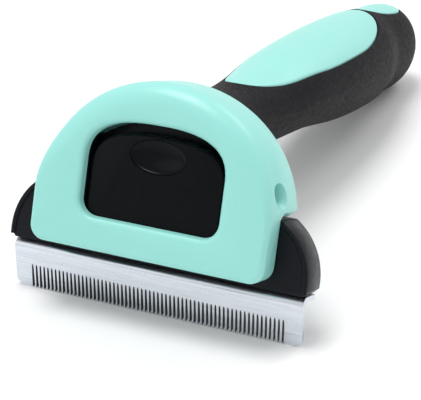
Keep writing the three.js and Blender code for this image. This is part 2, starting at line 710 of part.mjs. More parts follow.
head.add(archShell(), backCover(), ...coverScrews());
head.add(cartridgeBody(), cartridgeBackPlate(), ...plateScrews(), ...bladeScrews());
head.add(releaseLatch(), latchPin(), ...springs());
handle.add(coreUpper(), coreLower(), ...coreScrews(), grip());

const tool = new THREE.Group();
tool.name = 'deshedding_tool';
tool.add(head, handle, combBlade());

// The origin is under the middle of the tool's length.
const extent = new THREE.Box3().setFromObject(tool, true);
tool.position.y = -(extent.min.y + extent.max.y) / 2;
tool.updateMatrixWorld(true);

export default tool;
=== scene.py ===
import math

import bmesh
import bpy
from mathutils import Matrix, Vector


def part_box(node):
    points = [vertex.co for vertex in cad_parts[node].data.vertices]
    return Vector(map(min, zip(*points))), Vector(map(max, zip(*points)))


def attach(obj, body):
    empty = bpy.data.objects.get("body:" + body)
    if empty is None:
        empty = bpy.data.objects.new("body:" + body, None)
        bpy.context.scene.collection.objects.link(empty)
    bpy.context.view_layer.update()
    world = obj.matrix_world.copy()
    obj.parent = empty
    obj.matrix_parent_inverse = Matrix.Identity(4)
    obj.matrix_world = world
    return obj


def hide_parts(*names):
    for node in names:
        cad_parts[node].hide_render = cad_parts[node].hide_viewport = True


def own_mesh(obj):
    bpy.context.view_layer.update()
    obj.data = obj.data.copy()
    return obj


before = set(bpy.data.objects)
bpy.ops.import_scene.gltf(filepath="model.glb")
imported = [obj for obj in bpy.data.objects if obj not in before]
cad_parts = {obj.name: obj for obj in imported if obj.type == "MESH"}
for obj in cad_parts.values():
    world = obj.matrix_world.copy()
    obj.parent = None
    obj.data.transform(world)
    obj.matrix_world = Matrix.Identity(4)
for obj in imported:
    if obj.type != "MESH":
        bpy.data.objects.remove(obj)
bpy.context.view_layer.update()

# ---- sizes, in millimetres, and the two frames they are given in -----------------------------

MM = 0.001
BLADE_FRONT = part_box("comb_blade")[0][1]      # metres, where the comb's front face stands

# The head's own axes: X across, Y up the face, Z out of the face.
FACE_TILT = math.radians(71)
HEAD = Matrix.Translation((0, BLADE_FRONT - 2.5 * MM, 12.5 * MM)) @ Matrix.Rotation(FACE_TILT, 4, "X")
# The handle's own axes: X across, Y along the handle, Z out of its top.
HANDLE_SLOPE = math.radians(11.4)
HANDLE = Matrix.Translation((0, BLADE_FRONT + 16 * MM, 35.7 * MM)) @ Matrix.Rotation(-HANDLE_SLOPE, 4, "X")
# The tool's axes, with Y counted from the comb's front face.
TOOL = Matrix.Translation((0, BLADE_FRONT, 0))

ARCH_HALF_WIDTH = 26.7
ARCH_CENTRE = 12
ARCH_RISE = 25
ARCH_FRONT = 3.7
ARCH_BACK = -10
CROWN_ROUNDING = 4.6
ARM_ROUNDING = 1.2
ROUNDING_START = 12
ROUNDING_FULL = 27
CROWN_CORNER = 1.5
CROWN_DRAFT = 0.7
ARM_HALF_WIDTH = 25.9
ARM_BOTTOM = 1.3
ARM_CORNER = 3.2
ARM_BACK = -2.2
SHOULDER = 13.9
POCKET_HALF_WIDTH = 22.5
POCKET_RISE = 17.3
POCKET_FRONT = 1.7
POCKET_BACK = -7.6
UPPER_POCKET_BACK = -5.3
UPPER_POCKET_START = 18.5
COVER_INSET = 2.3
COVER_SEAT = -7.3
WINDOW = {"half": 15.3, "bottom": 8.1, "shoulder": 19.3, "top": 28.5, "corner": 3.6}
WINDOW_ROUNDING = 1.1
PANEL_FULLNESS = 2.7
SIDE_HOLE = {"radius": 2.1, "y": 19, "z": -1.6, "floor": 21}

# Distance along the handle, half-width, half-height, and height of the section's middle.
GRIP_STATIONS = [(-4, 9.4, 8.3, -0.1), (8, 8.8, 7.4, -1.0), (20, 8.5, 7.0, -1.9), (34, 9.6, 8.2, -2.0),
                 (52, 11.7, 9.5, -0.6), (76, 12.9, 11.7, -0.3), (98, 12.1, 12.5, 0.2), (112, 10.1, 12.0, 0.5)]
PARTING_RIDGE = 0.07
PARTING_HALF_WIDTH = 13
END_CAP_LENGTH = 22.4
END_CAP_FULLNESS = 3.6
GRIP_FRONT = -10.05
GROOVE = 0.32
PATCH_DEPTH = 1.2
LONG_PATCH = {"start": 24.8, "widest": 77, "end": 103.9, "half": 10.4}
END_PATCH = {"start": 105.2, "widest": 120, "end": 129.5, "half": 4.9}

WING_FRONT = -2.5
CARTRIDGE_BACK = -9.9
CARTRIDGE_BOTTOM = -0.2
WING_HALF_WIDTH = 33.3
WING_RADIUS = 14
WING_CENTRE = 1.8
WING_CHAMFER = 1.1
WING_INNER = 21.9
WING_TOP = 13.6
BEAD_HEIGHT = 0.55
BEAD_RADIUS = 0.55
BEAD_INSET = 0.62
SLIDE_HALF_WIDTH = 22
SLIDE_RISE = 16.8
SLIDE_FRONT = 1.4
SLIDE_BACK = -7
UPPER_SLIDE_BACK = -4.9
WEB_FRONT = -3.9
WEB_START = 17.6
BAR_TOP = 2.6
GAP = 0.3
BAY_HALF_WIDTH = 15.2
PLATE = {"half": 18.5, "bottom": 4, "top": 17.3, "front": -5.7}
LATCH = {"half": 14.8, "bottom": 2.9, "shoulder": 18, "top": 26.3, "corner": 2.2, "front": 1.4, "back": -1.7}
LATCH_ROUNDING = 0.9
DISH = {"half": 6.3, "rise": 3.5, "y": 22.1, "depth": 1.2}
PIN = {"radius": 1.1, "y": 4.9, "z": -1.9, "barrel": 2}
SPRING = {"radius": 1.8, "wire": 0.22, "turns": 3.5, "x": 8, "y": 14, "back": -5.1, "front": -2.1}

SHEET = 1.2
BLADE_HALF_WIDTH = 32.5
BEND_RADIUS = 1.6
LEAF_TOP = 7
FLANGE_TOP = -0.5
FLANGE_END = -9.9
SLOT_COUNT = 63
SLOT_PITCH = 0.918
SLOT_HEIGHT = 5.5
TOOTHLESS_END = 2.3

COVER_SCREW = {"head_radius": 1.6, "head_height": 0.9, "length": 5.6, "shank_radius": 0.8}
BLADE_SCREW = {"head_radius": 1.5, "head_height": 0.8, "length": 4.2, "shank_radius": 0.7}
BACK_PLATE_SCREW = {"head_radius": 1.5, "head_height": 0.6, "length": 4.4, "shank_radius": 0.7}

CAMERA_YAW = math.radians(24.887)
CAMERA_PITCH = math.radians(25.893)
CAMERA_ROLL = -0.007
CAMERA_LENS = 134.4
CAMERA_PLACE = (0.128164, -0.248556, 0.161611)      # metres, with Y from the comb's front face


# ---- mesh helpers ----------------------------------------------------------------------------

def make(name, verts, faces, place):
    """A mesh object from points in millimetres on the axes of place, welded and facing outwards."""
    mesh = bpy.data.meshes.new(name)
    mesh.from_pydata([place @ (Vector(v) * MM) for v in verts], [], faces)
    tidy = bmesh.new()
    tidy.from_mesh(mesh)
    bmesh.ops.remove_doubles(tidy, verts=tidy.verts, dist=1e-6)
    bmesh.ops.recalc_face_normals(tidy, faces=tidy.faces)
    tidy.to_mesh(mesh)
    tidy.free()
    obj = bpy.data.objects.new(name, mesh)
    bpy.context.scene.collection.objects.link(obj)
    return obj


def loft(name, loops, place):
    """A closed skin over loops of equal length, with a flat face over each end."""
    count = len(loops[0])
    verts = [point for loop in loops for point in loop]
    faces = []
    for k in range(len(loops) - 1):
        for i in range(count):
            j = (i + 1) % count
            faces.append((k * count + i, k * count + j, (k + 1) * count + j, (k + 1) * count + i))
    faces.append(tuple(range(count)))
    faces.append(tuple(range((len(loops) - 1) * count, len(loops) * count)))
    return make(name, verts, faces, place)


def box(name, low, high, place):
    corners = [(low[0], low[1]), (high[0], low[1]), (high[0], high[1]), (low[0], high[1])]
    return loft(name, [[(x, y, z) for x, y in corners] for z in (low[2], high[2])], place)


def level(outline, z):
    return [(x, y, z) for x, y in outline]


def ring(radius, centre, axis, steps=48):
    """A circle square to axis 0 (X) or 2 (Z)."""
    points = []
    for i in range(steps):
        a = 2 * math.pi * i / steps
        u = radius * math.cos(a)
        v = radius * math.sin(a)
        points.append((centre[0], centre[1] + u, centre[2] + v) if axis == 0
                      else (centre[0] + u, centre[1] + v, centre[2]))
    return points


def bake(obj):
    """Makes the modifiers' result the object's own mesh."""
    depsgraph = bpy.context.evaluated_depsgraph_get()
    mesh = bpy.data.meshes.new_from_object(obj.evaluated_get(depsgraph))
    obj.modifiers.clear()
    obj.data = mesh
    return obj


def combine(obj, others, operation="DIFFERENCE"):
    for other in others:
        modifier = obj.modifiers.new("cut", "BOOLEAN")
        modifier.operation = operation
        modifier.solver = "EXACT"
        modifier.object = other
    bake(obj)
    for other in others:
        bpy.data.objects.remove(other)
    return obj


def smooth(obj, angle=32):
    for polygon in obj.data.polygons:
        polygon.use_smooth = True
    obj.data.set_sharp_from_angle(angle=math.radians(angle))
    return obj


def soften(obj, width, angle=40, segments=2):
    """A small rounding on every edge sharper than angle."""
    modifier = obj.modifiers.new("edges", "BEVEL")
    modifier.width = width * MM
    modifier.segments = segments
    modifier.limit_method = "ANGLE"
    modifier.angle_limit = math.radians(angle)
    modifier.use_clamp_overlap = True
    return obj


def dress(obj, body, slot, look, *nodes):
    """Gives a piece its body, material and the CAD nodes that it stands for. slot is not used."""
    obj.data.materials.clear()
    obj.data.materials.append(look)
    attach(obj, body)
    if nodes:
        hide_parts(*nodes)
    return obj


# ---- materials -------------------------------------------------------------------------------

def new_material(name, base, roughness, metallic=0.0, **sockets):
    look = bpy.data.materials.new(name)
    look.use_nodes = True
    shader = look.node_tree.nodes["Principled BSDF"]
    shader.inputs["Base Color"].default_value = (*base, 1)
    shader.inputs["Roughness"].default_value = roughness
    shader.inputs["Metallic"].default_value = metallic
    for key, value in sockets.items():
        shader.inputs[key.replace("_", " ")].default_value = value
    return look


def noise(look, scale, detail=4.0, stretch=(1, 1, 1)):
    """Noise over the object's own coordinates, in metres."""
    nodes = look.node_tree.nodes
    links = look.node_tree.links
    place = nodes.new("ShaderNodeTexCoord")
    mapping = nodes.new("ShaderNodeMapping")
    mapping.inputs["Scale"].default_value = stretch
    texture = nodes.new("ShaderNodeTexNoise")
    texture.inputs["Scale"].default_value = scale
    texture.inputs["Detail"].default_value = detail
    links.new(place.outputs["Object"], mapping.inputs["Vector"])
    links.new(mapping.outputs["Vector"], texture.inputs["Vector"])
    return texture.outputs["Fac"]


def ramp(look, source, low, high):
    """Spreads a 0 to 1 value over low to high."""
    node = look.node_tree.nodes.new("ShaderNodeMapRange")
    node.inputs["From Min"].default_value = 0.3
    node.inputs["From Max"].default_value = 0.7
    node.inputs["To Min"].default_value = low
    node.inputs["To Max"].default_value = high
    look.node_tree.links.new(source, node.inputs["Value"])
    return node.outputs["Result"]


def vary_colour(look, source, first, second):
    node = look.node_tree.nodes.new("ShaderNodeMix")
    node.data_type = "RGBA"
    node.inputs["A"].default_value = (*first, 1)
    node.inputs["B"].default_value = (*second, 1)
    look.node_tree.links.new(source, node.inputs["Factor"])
    shader = look.node_tree.nodes["Principled BSDF"]
    look.node_tree.links.new(node.outputs["Result"], shader.inputs["Base Color"])


def vary_roughness(look, source, low, high):
    shader = look.node_tree.nodes["Principled BSDF"]
    look.node_tree.links.new(ramp(look, source, low, high), shader.inputs["Roughness"])


def bump(look, source, strength, distance):
    node = look.node_tree.nodes.new("ShaderNodeBump")
    node.inputs["Strength"].default_value = strength
    node.inputs["Distance"].default_value = distance * MM
    shader = look.node_tree.nodes["Principled BSDF"]
    look.node_tree.links.new(source, node.inputs["Height"])
    look.node_tree.links.new(node.outputs["Normal"], shader.inputs["Normal"])


def mint_plastic():
    look = new_material("mint_plastic", (0.32, 0.75, 0.69), 0.36, Specular_IOR_Level=0.5)
    vary_colour(look, noise(look, 45, 3), (0.31, 0.735, 0.675), (0.335, 0.77, 0.705))
    vary_roughness(look, noise(look, 900, 2), 0.3, 0.42)
    bump(look, noise(look, 2600, 2), 0.12, 0.03)
    return look


def black_plastic():
    look = new_material("black_plastic", (0.006, 0.007, 0.010), 0.34, Specular_IOR_Level=0.16)
    vary_colour(look, noise(look, 60, 3), (0.0045, 0.0055, 0.008), (0.0075, 0.0085, 0.012))
    vary_roughness(look, noise(look, 700, 3), 0.26, 0.4)
    bump(look, noise(look, 1300, 2), 0.4, 0.06)
    return look


def panel_plastic():
    look = new_material("panel_plastic", (0.003, 0.0036, 0.005), 0.24, Specular_IOR_Level=0.1)
    vary_colour(look, noise(look, 80, 3), (0.0022, 0.0028, 0.004), (0.0038, 0.0046, 0.0062))
    vary_roughness(look, noise(look, 500, 3), 0.2, 0.3)
    bump(look, noise(look, 1500, 2), 0.05, 0.02)
    return look


def grip_rubber():
    look = new_material("grip_rubber", (0.010, 0.0098, 0.0118), 0.62, Specular_IOR_Level=0.1)
    vary_colour(look, noise(look, 120, 4), (0.008, 0.0078, 0.0096), (0.0125, 0.012, 0.0145))
    vary_roughness(look, noise(look, 1100, 3), 0.5, 0.7)
    bump(look, noise(look, 1500, 3), 0.3, 0.05)
    return look


def blade_steel():
    look = new_material("blade_steel", (0.72, 0.75, 0.79), 0.3, 1.0, Anisotropic=0.4)
    grain = noise(look, 260, 5, (0.35, 4, 14))
    vary_colour(look, grain, (0.50, 0.55, 0.62), (0.86, 0.89, 0.93))
    vary_roughness(look, grain, 0.24, 0.42)
    bump(look, grain, 0.3, 0.03)
    return look


def slot_painted_shade():
    """The cut walls of the comb's slots, darkened as painted shade for the dark that lies between the teeth.
    """
    look = new_material("slot_painted_shade", (0.03, 0.034, 0.04), 0.5, 1.0)
    vary_colour(look, noise(look, 900, 3), (0.016, 0.018, 0.022), (0.06, 0.066, 0.075))
    vary_roughness(look, noise(look, 1200, 3), 0.4, 0.6)
    return look


def fastener_steel():
    look = new_material("fastener_steel", (0.5, 0.51, 0.53), 0.35, 1.0)
    vary_colour(look, noise(look, 300, 3), (0.45, 0.46, 0.48), (0.58, 0.59, 0.6))
    vary_roughness(look, noise(look, 1200, 3), 0.28, 0.45)
    bump(look, noise(look, 1800, 2), 0.1, 0.02)
    return look


MINT = mint_plastic()
BLACK = black_plastic()
PANEL = panel_plastic()
RUBBER = grip_rubber()
STEEL = blade_steel()
SLOT_PAINTED_SHADE = slot_painted_shade()
FASTENER = fastener_steel()


# ---- head: the mint arch ---------------------------------------------------------------------

def mirrored(right):
    """Completes a right half, listed from the bottom centre to the top centre."""
    left = [(-x, y) for x, y in reversed(right) if x > 1e-6]
    return right + left


def arch_outline(inset, crown_only=False, draft=0.0):
    """The arch moved in by inset. crown_only closes it along the shoulder, draft narrows the crown."""
    half = ARCH_HALF_WIDTH - inset - draft
    rise = ARCH_RISE - inset
    arm = ARM_HALF_WIDTH - inset
    bottom = ARM_BOTTOM + inset
    corner = max(ARM_CORNER - inset, 0.2)
    right = [((arm - corner) * i / 6, bottom) for i in range(6)]
    for i in range(9):
        a = math.pi / 2 * i / 8
        right.append((arm - corner + corner * math.sin(a), bottom + corner - corner * math.cos(a)))
    right += [(arm, bottom + corner + (SHOULDER - bottom - corner) * i / 6) for i in range(1, 6)]
    start = math.asin((SHOULDER + CROWN_CORNER - ARCH_CENTRE) / rise)
    edge = half * math.cos(start)
    low, middle = edge - 2, edge - 1
    if crown_only:
        right = [(x * (low - 0.1) / arm, SHOULDER) for x, _ in right]
    for i in range(7):
        t = i / 7
        u = 1 - t
        rounded = (u * u * low + 2 * u * t * middle + t * t * edge,
                   SHOULDER + 0.2 * u * t + t * t * CROWN_CORNER)
        right.append(rounded if crown_only else (arm + (edge - arm) * t, SHOULDER + CROWN_CORNER * t))
    steps = 56
    for i in range(steps + 1):
        a = start + (math.pi / 2 - start) * i / steps
        right.append((half * math.cos(a), ARCH_CENTRE + rise * math.sin(a)))
    return mirrored(right)


def rounded_front(outline):
    """Loops that round the outline over to the face: widely along the crown, tightly down the arms."""
    count = len(outline)
    turned = []
    for i, (x, y) in enumerate(outline):
        (x0, y0), (x1, y1) = outline[i - 2], outline[(i + 2) % count]
        length = math.hypot(x1 - x0, y1 - y0)
        share = min(max((y - ROUNDING_START) / (ROUNDING_FULL - ROUNDING_START), 0), 1)
        radius = ARM_ROUNDING + (CROWN_ROUNDING - ARM_ROUNDING) * share * share * (3 - 2 * share)
        turned.append((x, y, -(y1 - y0) / length, (x1 - x0) / length, radius))
    loops = []
    for k in range(15):
        a = math.pi / 2 * k / 14
        loops.append([(x + nx * r * (1 - math.cos(a)),
                       y + ny * r * (1 - math.cos(a)),
                       ARCH_FRONT - r + r * math.sin(a))
                      for x, y, nx, ny, r in turned])
    return loops


def plain_arch(half, rise, bottom, steps=40):
    right = [(0, bottom), (half, bottom)]
    for i in range(steps + 1):
        a = math.pi / 2 * i / steps
        right.append((half * math.cos(a), ARCH_CENTRE + rise * math.sin(a)))
    return mirrored(right)


def panel_outline(size, outset=0.0):
    """Rounded bottom corners and a superellipse top."""
    half = size["half"] + outset
    bottom = size["bottom"] - outset
    corner = max(size["corner"] + outset, 0.1)
    rise = size["top"] + outset - size["shoulder"]
    right = [(0, bottom)]
    for i in range(9):
        a = math.pi / 2 * i / 8
        right.append((half - corner + corner * math.sin(a), bottom + corner - corner * math.cos(a)))
    steps = 40
    for i in range(steps + 1):
        a = math.pi / 2 * i / steps
        x = half * max(math.cos(a), 0) ** (2 / PANEL_FULLNESS)
        right.append((x, size["shoulder"] + rise * math.sin(a) ** (2 / PANEL_FULLNESS)))
    return mirrored(right)


def rounding(radius, steps=7):
    """Pairs of (how far in, how far up) over a quarter round."""
    return [(radius * (1 - math.cos(a)), radius * math.sin(a))
            for a in (math.pi / 2 * i / steps for i in range(steps + 1))]


def arch():
    back_rounding = [(ARCH_BACK, 0.8), (ARCH_BACK + 0.12, 0.4), (ARCH_BACK + 0.35, 0.12),
                     (ARCH_BACK + 0.8, 0), (ARM_BACK, 0)]
    loops = [level(arch_outline(inset, True), z) for z, inset in back_rounding]
    loops.append(level(arch_outline(0), ARM_BACK))
    loops += rounded_front(arch_outline(0, False, CROWN_DRAFT))
    body = loft("arch", loops, HEAD)
    pocket = plain_arch(POCKET_HALF_WIDTH, POCKET_RISE, -5)
    seat = plain_arch(ARCH_HALF_WIDTH - COVER_INSET, ARCH_RISE - COVER_INSET, -5)
    window = [level(panel_outline(WINDOW, -0.12), 0), level(panel_outline(WINDOW, -0.12), POCKET_FRONT)]
    for inward, up in rounding(WINDOW_ROUNDING, 6):
        window.append(level(panel_outline(WINDOW, inward), ARCH_FRONT - WINDOW_ROUNDING + up))
    window.append(level(panel_outline(WINDOW, WINDOW_ROUNDING), ARCH_FRONT + 2))
    cutters = [
        loft("pocket", [level(pocket, UPPER_POCKET_BACK), level(pocket, POCKET_FRONT)], HEAD),
        box("lower_pocket", (-POCKET_HALF_WIDTH, -5, POCKET_BACK),
            (POCKET_HALF_WIDTH, UPPER_POCKET_START, 0), HEAD),
        loft("cover_seat", [level(seat, ARCH_BACK - 5), level(seat, COVER_SEAT)], HEAD),
        loft("window", window, HEAD),
    ]
    for side in (-1, 1):
        y, z, r = SIDE_HOLE["y"], SIDE_HOLE["z"], SIDE_HOLE["radius"]
        edge = ARCH_HALF_WIDTH * math.cos(math.asin((y - ARCH_CENTRE) / ARCH_RISE))
        rings = [(SIDE_HOLE["floor"], r * 0.7), (edge - 1.6, r * 0.92), (edge - 0.6, r * 1.05),
                 (edge + 1, r * 1.5), (edge + 4, r * 1.6)]
        cutters.append(loft("hole", [ring(radius, (side * x, y, z), 0) for x, radius in rings], HEAD))
    combine(body, cutters)
    return dress(smooth(body), "handle", "mint_plastic", MINT, "arch_shell")


# ---- handle ----------------------------------------------------------------------------------

def grip_size(y):
    """Half-width, half-height and the middle's height of the handle's section at a distance along it."""
    last = GRIP_STATIONS[-1]
    if y >= last[0]:
        share = min((y - last[0]) / END_CAP_LENGTH, 1)
        shrink = (1 - share ** END_CAP_FULLNESS) ** (1 / END_CAP_FULLNESS)
        return last[1] * shrink, last[2] * shrink, last[3]
    k = max(i for i, station in enumerate(GRIP_STATIONS[:-1]) if station[0] <= max(y, GRIP_STATIONS[0][0]))
    end = len(GRIP_STATIONS) - 1
    before, here, there, after = (GRIP_STATIONS[min(max(k + i, 0), end)] for i in (-1, 0, 1, 2))
    span = there[0] - here[0]
    t = (y - here[0]) / span
    sizes = []
    for i in (1, 2, 3):
        slope_here = (there[i] - before[i]) / (there[0] - before[0]) * span
        slope_there = (after[i] - here[i]) / (after[0] - here[0]) * span if after is not there else 0
        sizes.append((2 * t ** 3 - 3 * t ** 2 + 1) * here[i] + (t ** 3 - 2 * t ** 2 + t) * slope_here
                     + (3 * t ** 2 - 2 * t ** 3) * there[i] + (t ** 3 - t ** 2) * slope_there)
    return tuple(sizes)


def top_of_grip(x, y):
    a, b, middle = grip_size(y)
    return middle + b * math.sqrt(max(1 - (x / max(a, 0.01)) ** 2, 0))


def bezier(points, steps):
    (x0, y0), (x1, y1), (x2, y2), (x3, y3) = points
    result = []
    for i in range(steps):
        t = i / steps
        u = 1 - t
        w = (u ** 3, 3 * u * u * t, 3 * u * t * t, t ** 3)
        result.append((w[0] * x0 + w[1] * x1 + w[2] * x2 + w[3] * x3,
                       w[0] * y0 + w[1] * y1 + w[2] * y2 + w[3] * y3))
    return result


def long_patch_outline(extra):
    start, widest, end = LONG_PATCH["start"] - extra, LONG_PATCH["widest"], LONG_PATCH["end"] + extra
    h = LONG_PATCH["half"] + extra
    right = bezier([(0, start), (h * 0.45, start), (h * 0.66, start + 10), (h * 0.83, start + 23)], 24)
    right += bezier([(h * 0.83, start + 23), (h * 0.93, start + 31), (h, widest - 16), (h, widest)], 20)
    right += bezier([(h, widest), (h, widest + 12), (h * 0.78, end), (0, end)], 30)
    right.append((0, end))
    return mirrored(right)


def end_patch_outline(extra):
    start, widest, end = END_PATCH["start"] - extra, END_PATCH["widest"], END_PATCH["end"] + extra
    h = END_PATCH["half"] + extra
    right = bezier([(0, start), (h * 0.5, start), (h, start + 6), (h, widest)], 24)
    right += bezier([(h, widest), (h, end - 4), (h * 0.6, end), (0, end)], 20)
    right.append((0, end))
    return mirrored(right)


def on_grip(outline, share, drop):
    """The outline shrunk to share about its middle, laid on top of the handle and lowered by drop."""
    middle = (min(y for _, y in outline) + max(y for _, y in outline)) / 2
    points = []
    for x, y in outline:
        px, py = x * share, middle + (y - middle) * share
        points.append((px, py, top_of_grip(px, py) - drop))
    return points


def patch(name, outline_of):
    outline = outline_of(0)
    loops = [on_grip(outline, share, PATCH_DEPTH + 0.6) for share in (0.02, 0.25, 0.5, 0.75, 0.95)]
    loops += [on_grip(outline, 1, drop) for drop in (PATCH_DEPTH, 0.4)]
    loops += [on_grip(outline, share, drop) for share, drop in ((0.994, 0.16), (0.985, 0.05), (0.972, 0.0))]
    loops += [on_grip(outline, 0.94 * (1 - i / 24) + 0.01, 0) for i in range(25)]
    piece = loft(name, loops, HANDLE)
    return dress(smooth(piece, 60), "handle", "mint_plastic", MINT)


def patch_recess(outline_of):
    outline = outline_of(GROOVE)
    loops = [on_grip(outline, share, PATCH_DEPTH) for share in (0.02, 0.25, 0.5, 0.75, 0.9)]
    loops.append(on_grip(outline, 1, PATCH_DEPTH))
    loops.append([(x, y, 22) for x, y in outline])
    return loft("recess", loops, HANDLE)


def grip():
    steps_round = 120
    stations = [GRIP_STATIONS[0][0] + 1.4 * i for i in range(83)]
    stations += [GRIP_STATIONS[-1][0] + END_CAP_LENGTH * math.sin(math.pi / 2 * i / 30) for i in range(1, 30)]
    stations.append(GRIP_STATIONS[-1][0] + END_CAP_LENGTH * 0.9999)
    loops = []
    for y in stations:
        a, b, middle = grip_size(y)
        loop = []
        for i in range(steps_round):
            angle = 2 * math.pi * i / steps_round
            parting = 1 + PARTING_RIDGE / PARTING_HALF_WIDTH if i in (0, steps_round // 2) else 1
            loop.append((a * parting * math.cos(angle), y, middle + b * math.sin(angle)))
        loops.append(loop)
    body = loft("grip_sleeve", loops, HANDLE)
    front = box("front", (-60, -60, GRIP_FRONT), (60, 90, 60), HEAD)
    combine(body, [front, patch_recess(long_patch_outline), patch_recess(end_patch_outline)])
    return dress(smooth(body, 30), "handle", "grip_rubber", RUBBER, "grip")


def handle():
    grip()
    long_patch = patch("grip_patch_long", long_patch_outline)
    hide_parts("handle_core_upper")
    patch("grip_patch_end", end_patch_outline)


# ---- cartridge -------------------------------------------------------------------------------

def wing_outline(inset):
    outer = WING_HALF_WIDTH - inset
    radius = WING_RADIUS - inset
    left = WING_HALF_WIDTH - WING_RADIUS
    outline = [(WING_INNER, CARTRIDGE_BOTTOM), (outer - WING_CHAMFER, CARTRIDGE_BOTTOM),
               (outer, CARTRIDGE_BOTTOM + WING_CHAMFER)]
    end = math.asin((WING_TOP - WING_CENTRE) / radius)
    steps = 32
    for i in range(steps + 1):
        a = end * i / steps
        outline.append((left + radius * math.cos(a), WING_CENTRE + radius * math.sin(a)))
    outline.append((WING_INNER, WING_TOP))
    return outline


def wing(side):
    profile = [(CARTRIDGE_BACK, 0.5), (CARTRIDGE_BACK + 0.15, 0.15), (CARTRIDGE_BACK + 0.5, 0),
               (WING_FRONT - 0.3, 0), (WING_FRONT - 0.08, 0.08), (WING_FRONT, 0.3)]
    loops = [[(side * x, y, z) for x, y in wing_outline(inset)] for z, inset in profile]
    return loft("wing", loops, HEAD)


def wing_bead(side):
    """The raised line that runs along a wing's outer edge."""
    radius = WING_RADIUS - BEAD_INSET
    start = CARTRIDGE_BOTTOM + 0.6
    path = [(WING_HALF_WIDTH - BEAD_INSET, start + (WING_CENTRE - start) * i / 4, 0.0) for i in range(4)]
    end = math.asin((WING_TOP - 0.5 - WING_CENTRE) / radius)
    for i in range(33):
        a = end * i / 32
        path.append((WING_HALF_WIDTH - WING_RADIUS + radius * math.cos(a),
                     WING_CENTRE + radius * math.sin(a), a))
    rings = []
    for x, y, a in path:
        loop = []
        for k in range(12):
            t = 2 * math.pi * k / 12
            out = BEAD_RADIUS * math.cos(t)
            loop.append((side * (x + out * math.cos(a)), y + out * math.sin(a),
                         WING_FRONT + BEAD_HEIGHT - BEAD_RADIUS + BEAD_RADIUS * math.sin(t)))
        rings.append(loop)
    return loft("bead", rings, HEAD)


def cartridge():
    slide_outline = plain_arch(SLIDE_HALF_WIDTH, SLIDE_RISE, 1)
    body = loft("cartridge", [level(slide_outline, SLIDE_BACK), level(slide_outline, SLIDE_FRONT)], HEAD)
    combine(body, [
        box("upper_back", (-60, UPPER_POCKET_START - 0.5, SLIDE_BACK - 1), (60, 60, UPPER_SLIDE_BACK), HEAD),
        box("lower_front", (-60, 0, WING_FRONT), (60, BAR_TOP, 5), HEAD),
    ])
    bar = box("bar", (-WING_INNER - 1, CARTRIDGE_BOTTOM, CARTRIDGE_BACK),
              (WING_INNER + 1, BAR_TOP, WING_FRONT), HEAD)
    combine(body, [wing(1), wing(-1), bar, wing_bead(1), wing_bead(-1)], "UNION")
    bay_side = [(BAR_TOP, -60), (WEB_START, -60), (WEB_START, WEB_FRONT),
                (60, WEB_FRONT), (60, 60), (BAR_TOP, 60)]
    combine(body, [
        loft("bay", [[(x, y, z) for y, z in bay_side] for x in (-BAY_HALF_WIDTH, BAY_HALF_WIDTH)], HEAD),
        box("plate_seat", (-PLATE["half"] - GAP, PLATE["bottom"] - GAP, SLIDE_BACK - 1),
            (PLATE["half"] + GAP, PLATE["top"] + GAP, PLATE["front"] + GAP), HEAD),
        loft("pin_bore", [ring(PIN["radius"], (x, PIN["y"], PIN["z"]), 0) for x in (-18, 18)], HEAD),
    ])
    soften(body, 0.15)
    return dress(smooth(body), "cartridge", "black_plastic", BLACK, "cartridge_body")


def latch():
    loops = [level(panel_outline(LATCH, -0.25), LATCH["back"]),
             level(panel_outline(LATCH), LATCH["back"] + 0.25)]
    for inward, up in rounding(LATCH_ROUNDING, 8):
        loops.append(level(panel_outline(LATCH, -inward), LATCH["front"] - LATCH_ROUNDING + up))
    body = loft("thumb_panel", loops, HEAD)
    barrel = loft("barrel", [ring(PIN["barrel"], (x, PIN["y"], PIN["z"]), 0)
                             for x in (-LATCH["half"], LATCH["half"])], HEAD)
    combine(body, [barrel], "UNION")
    bore = loft("bore", [ring(PIN["radius"], (x, PIN["y"], PIN["z"]), 0) for x in (-20, 20)], HEAD)
    rings = []
    steps = 24
    for k in range(1, steps):
        a = math.pi * k / steps
        z = LATCH["front"] - DISH["depth"] * math.cos(a)
        rings.append([(DISH["half"] * math.sin(a) * math.cos(t),
                       DISH["y"] + DISH["rise"] * math.sin(a) * math.sin(t), z)
                      for t in (2 * math.pi * i / 72 for i in range(72))])
    combine(body, [bore, loft("dish", rings, HEAD)])
    return dress(smooth(body), "latch", "black_plastic", PANEL, "release_latch")


def springs():
    for side, name in ((-1, "latch_spring_left"), (1, "latch_spring_right")):
        curve = bpy.data.curves.new(name + "_coil", "CURVE")
        curve.dimensions = "3D"
        curve.bevel_depth = SPRING["wire"] * MM
        curve.bevel_resolution = 3
        curve.use_fill_caps = True
        count = int(SPRING["turns"] * 24) + 1
        line = curve.splines.new("POLY")
        line.points.add(count - 1)
        for i in range(count):
            a = 2 * math.pi * i / 24
            z = SPRING["back"] + (SPRING["front"] - SPRING["back"]) * i / (count - 1)
            place = HEAD @ (Vector((side * SPRING["x"] + SPRING["radius"] * math.cos(a),
                                    SPRING["y"] + SPRING["radius"] * math.sin(a), z)) * MM)
            line.points[i].co = (*place, 1)
        wire = bpy.data.objects.new(name + "_wire", curve)
        bpy.context.scene.collection.objects.link(wire)
        mesh = bpy.data.meshes.new_from_object(wire.evaluated_get(bpy.context.evaluated_depsgraph_get()))
        bpy.data.objects.remove(wire)
        coil = bpy.data.objects.new(name + "_coil", mesh)
        bpy.context.scene.collection.objects.link(coil)
        smooth(coil, 60)
        dress(coil, "cartridge", "fastener_steel", FASTENER, name)
        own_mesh(coil)


# ---- comb blade ------------------------------------------------------------------------------

